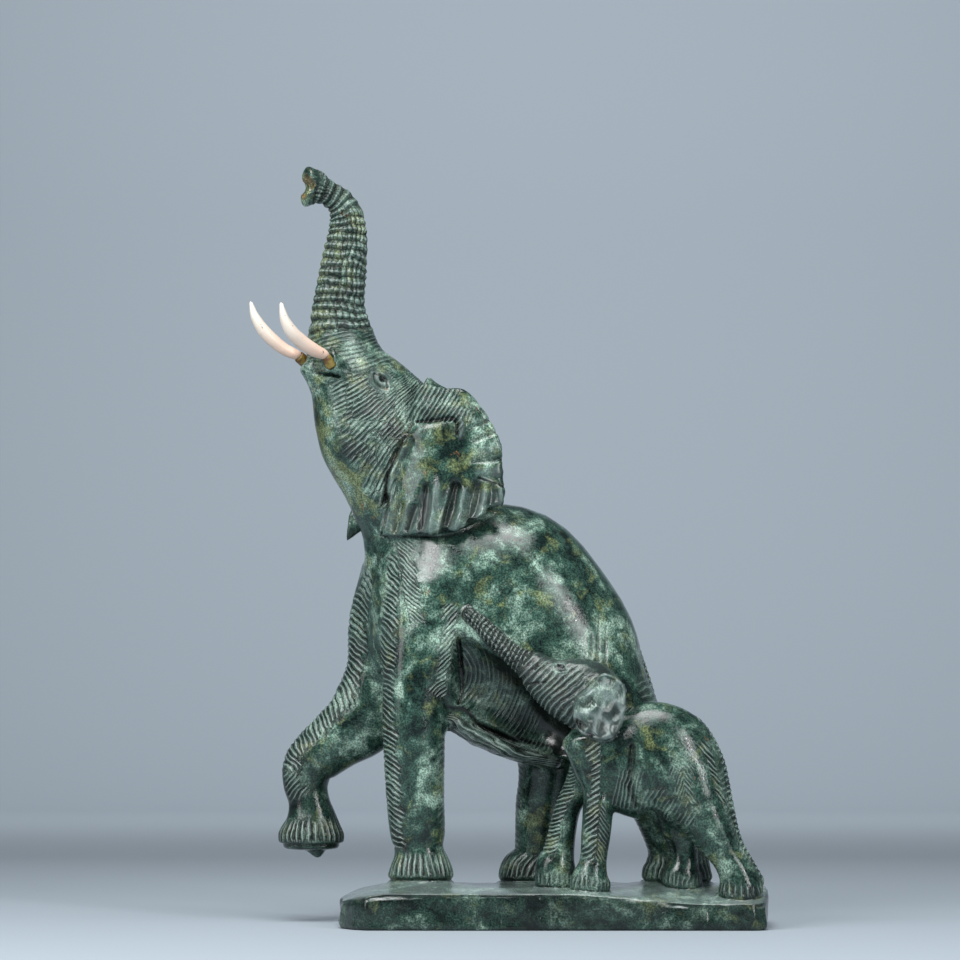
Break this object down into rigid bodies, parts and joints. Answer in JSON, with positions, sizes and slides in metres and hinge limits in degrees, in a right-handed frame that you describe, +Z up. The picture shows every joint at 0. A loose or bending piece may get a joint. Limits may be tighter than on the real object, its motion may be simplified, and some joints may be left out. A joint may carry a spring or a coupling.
{
  "type": "elephant and calf sculpture",
  "caption": "Green stone carving of an elephant with a raised trunk and white inset tusks, a calf at her flank, both on one uneven stone base.",
  "frame": {"origin": "centre of the base on its underside", "axes": "+Z up, the carving's longest extent; X along the base from the raised trunk's side (-) to the calf's tail (+); Y from the calf's side (-) to the far side (+)"},
  "size_m": [0.4146, 0.159, 0.6051],
  "materials": {
    "stone": "polished",
    "ivory_white": "satin",
    "glue": "gloss"
  },
  "bodies": {
    "root": {"carving": "stone", "near_tusk": "ivory_white", "far_tusk": "ivory_white", "near_tusk_glue": "glue", "far_tusk_glue": "glue"}
  },
  "joints": []
}
